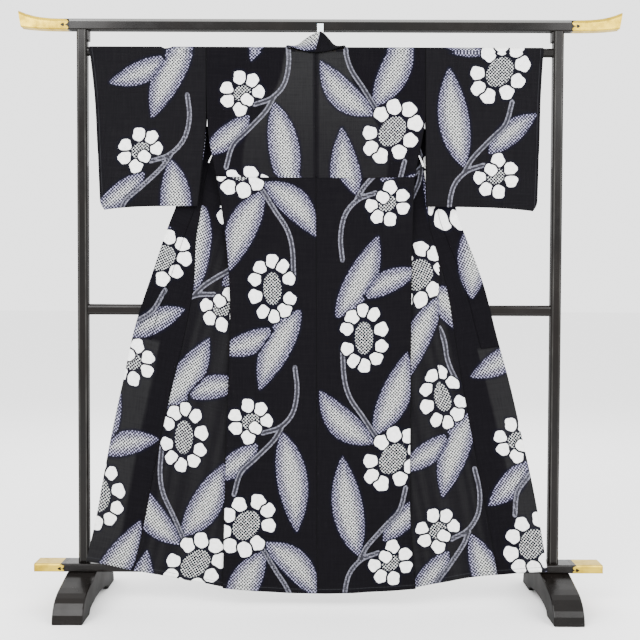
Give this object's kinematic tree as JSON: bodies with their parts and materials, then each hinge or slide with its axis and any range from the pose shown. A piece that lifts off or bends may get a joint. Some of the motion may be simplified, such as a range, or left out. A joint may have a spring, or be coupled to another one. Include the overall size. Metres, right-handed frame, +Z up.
{
  "type": "yukata robe on kimono stand",
  "caption": "Cotton yukata robe with a tie-dyed flower, leaf and vine pattern, spread open with its back to the viewer on a black lacquered kimono stand with gilt tips.",
  "frame": {"origin": "on the floor, midway between the stand's feet", "axes": "+Z up, +X along the stand's rails to the viewer's right, +Y away from the viewer who sees the garment's back"},
  "size_m": [1.7594, 0.408, 1.74],
  "materials": {
    "yukata_cotton": "matte tie-dyed plain weave",
    "lining_cotton": "matte plain weave",
    "black_lacquer": "glossy black lacquer",
    "gilt_metal": "pale gilt, satin",
    "white_plastic": "gloss"
  },
  "bodies": {
    "root": {"body_left": "yukata_cotton", "body_right": "yukata_cotton", "overlap_left": "yukata_cotton", "overlap_right": "yukata_cotton", "sleeve_left": "yukata_cotton", "sleeve_right": "yukata_cotton", "collar": "yukata_cotton", "seat_lining": "lining_cotton", "top_rail": "black_lacquer", "post_left": "black_lacquer", "post_right": "black_lacquer", "cleat_left": "black_lacquer", "cleat_right": "black_lacquer", "sleeve_bar": "black_lacquer", "middle_rail": "black_lacquer", "bottom_rail": "black_lacquer", "foot_left": "black_lacquer", "foot_right": "black_lacquer", "top_cap_left": "gilt_metal", "top_cap_right": "gilt_metal", "bottom_cap_left": "gilt_metal", "bottom_cap_right": "gilt_metal", "collar_hook": "white_plastic"}
  },
  "joints": []
}
